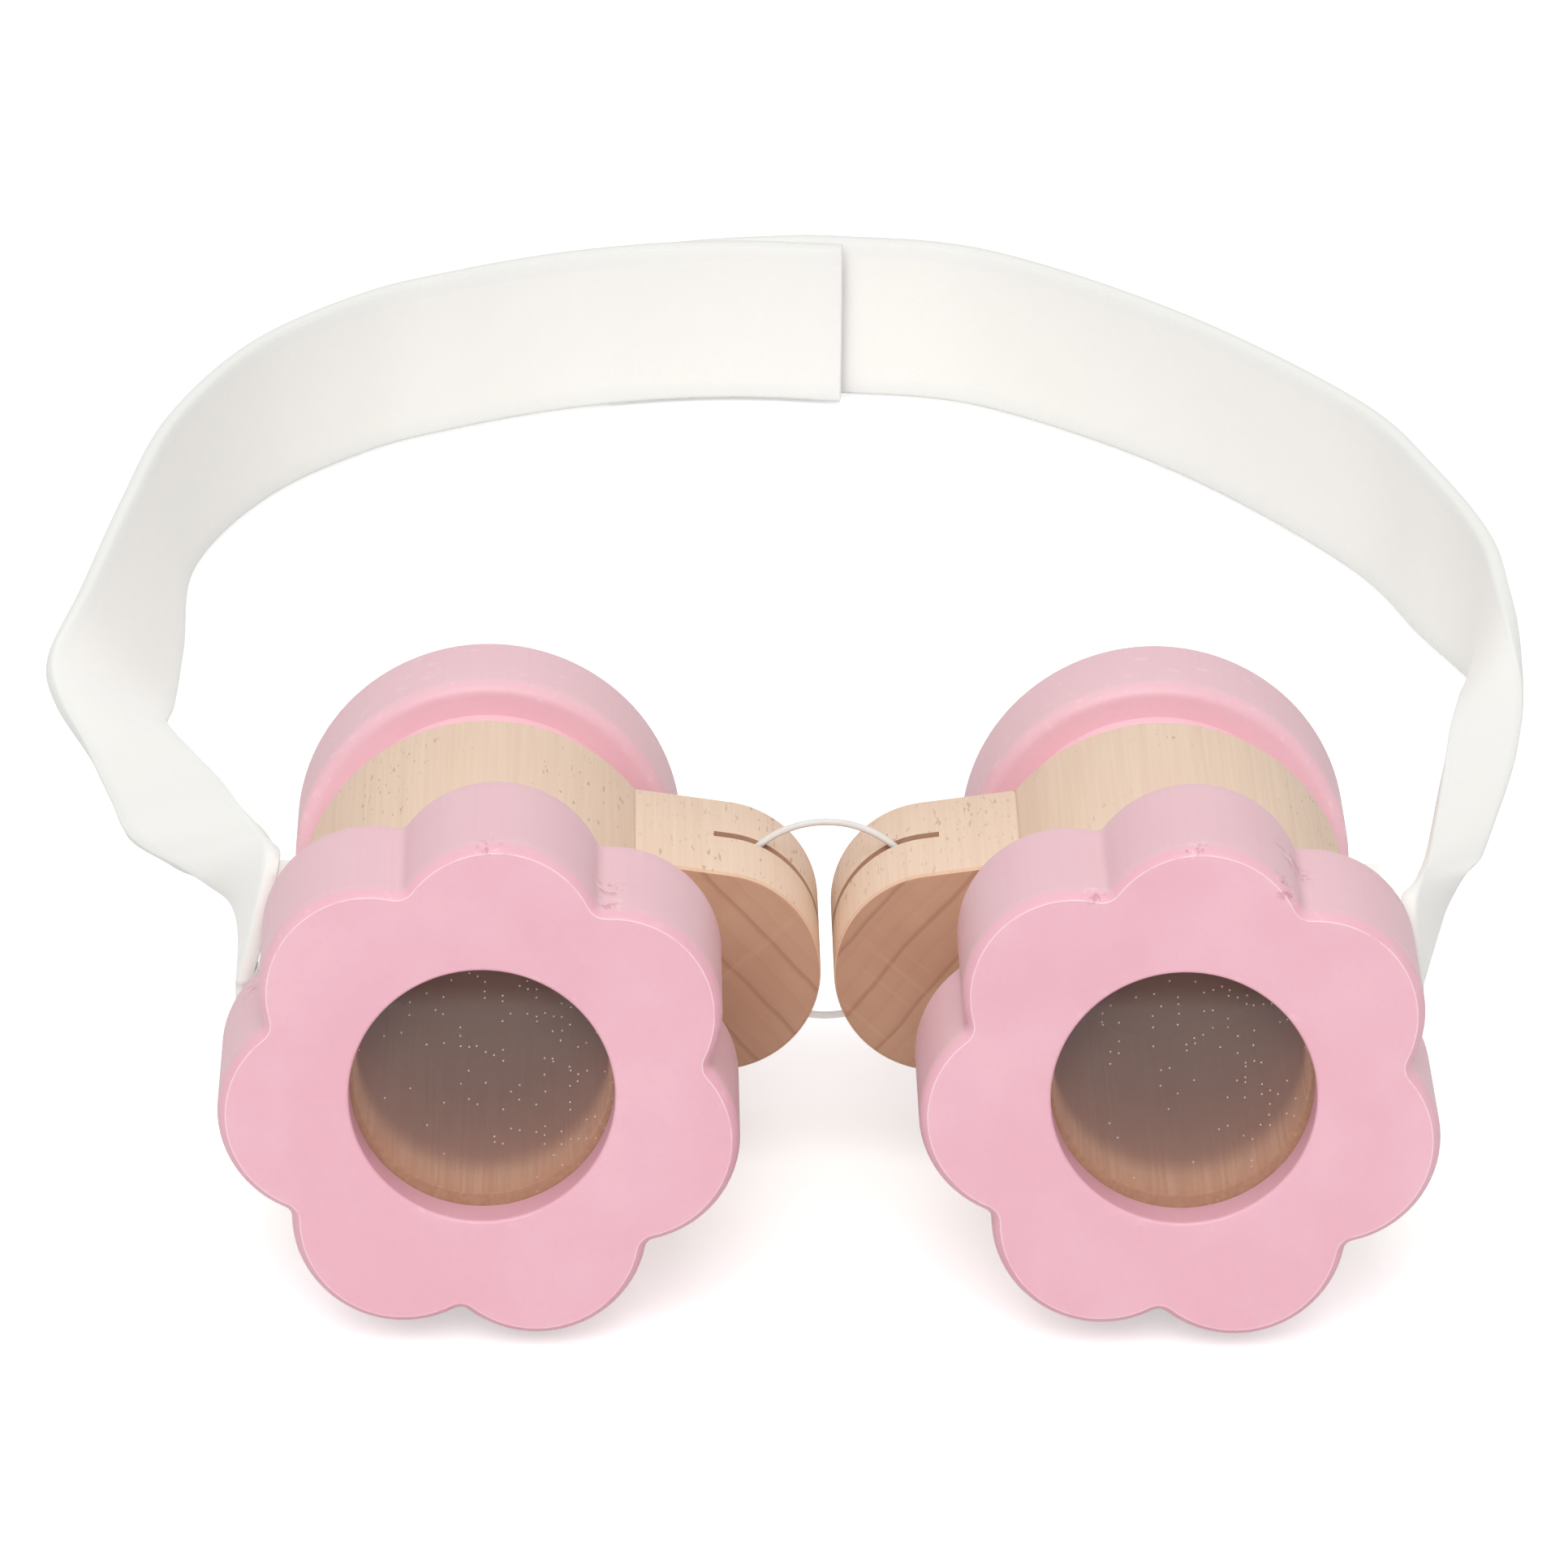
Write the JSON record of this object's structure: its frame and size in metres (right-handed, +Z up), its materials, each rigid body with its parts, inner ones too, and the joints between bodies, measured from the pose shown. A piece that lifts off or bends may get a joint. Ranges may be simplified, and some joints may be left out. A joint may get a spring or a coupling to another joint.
{
  "type": "toy binoculars",
  "caption": "Wooden toy binoculars: beech barrels with pink flower-shaped fronts, joined by a cord ring through kerfed lobes, with a lapped cotton neck strap.",
  "frame": {"origin": "bottom centre of the box around the whole part, lying on a table with the strap behind it", "axes": "+Z up, +X to the right seen from the flower side, +Y from the flowers back towards the strap"},
  "size_m": [0.1662, 0.2656, 0.0549],
  "materials": {
    "beech": "sanded, unpainted",
    "dowel": "unpainted",
    "pink_paint": "satin pink paint on wood",
    "clear_lens": "clear plastic",
    "white_cord": "braided cord",
    "cotton_tape": "off-white woven tape",
    "hook_and_loop": "hook and loop patch",
    "plated_steel": "plated"
  },
  "bodies": {
    "left_half": {"left_barrel": "beech", "left_flower_ring": "pink_paint", "left_eyepiece_ring": "pink_paint", "left_objective_lens": "clear_lens", "left_eyepiece_lens": "clear_lens", "left_hinge_pin": "dowel", "left_strap_screw": "plated_steel", "left_strap_washer": "plated_steel", "strap_left_tape": "cotton_tape", "closure_hook_patch": "hook_and_loop"},
    "cord": {"hinge_cord": "white_cord"},
    "right_half": {"right_barrel": "beech", "right_flower_ring": "pink_paint", "right_eyepiece_ring": "pink_paint", "right_objective_lens": "clear_lens", "right_eyepiece_lens": "clear_lens", "right_hinge_pin": "dowel", "right_strap_screw": "plated_steel", "right_strap_washer": "plated_steel", "strap_right_tape": "cotton_tape", "closure_loop_patch": "hook_and_loop"}
  },
  "joints": [
    {"name": "fold", "type": "hinge", "parent": "left_half", "child": "cord", "pos_m": [0.00342, -0.08027, 0.02361], "axis": [0, 0.9965, -0.0842], "range_deg": [-35, 35], "deforming": ["hinge_cord", "strap_left_tape", "strap_right_tape", "closure_hook_patch", "closure_loop_patch"]},
    {"name": "spread", "type": "slide", "parent": "cord", "child": "right_half", "axis": [1, 0, 0], "range_m": [0, 0.011], "deforming": ["hinge_cord"]}
  ]
}
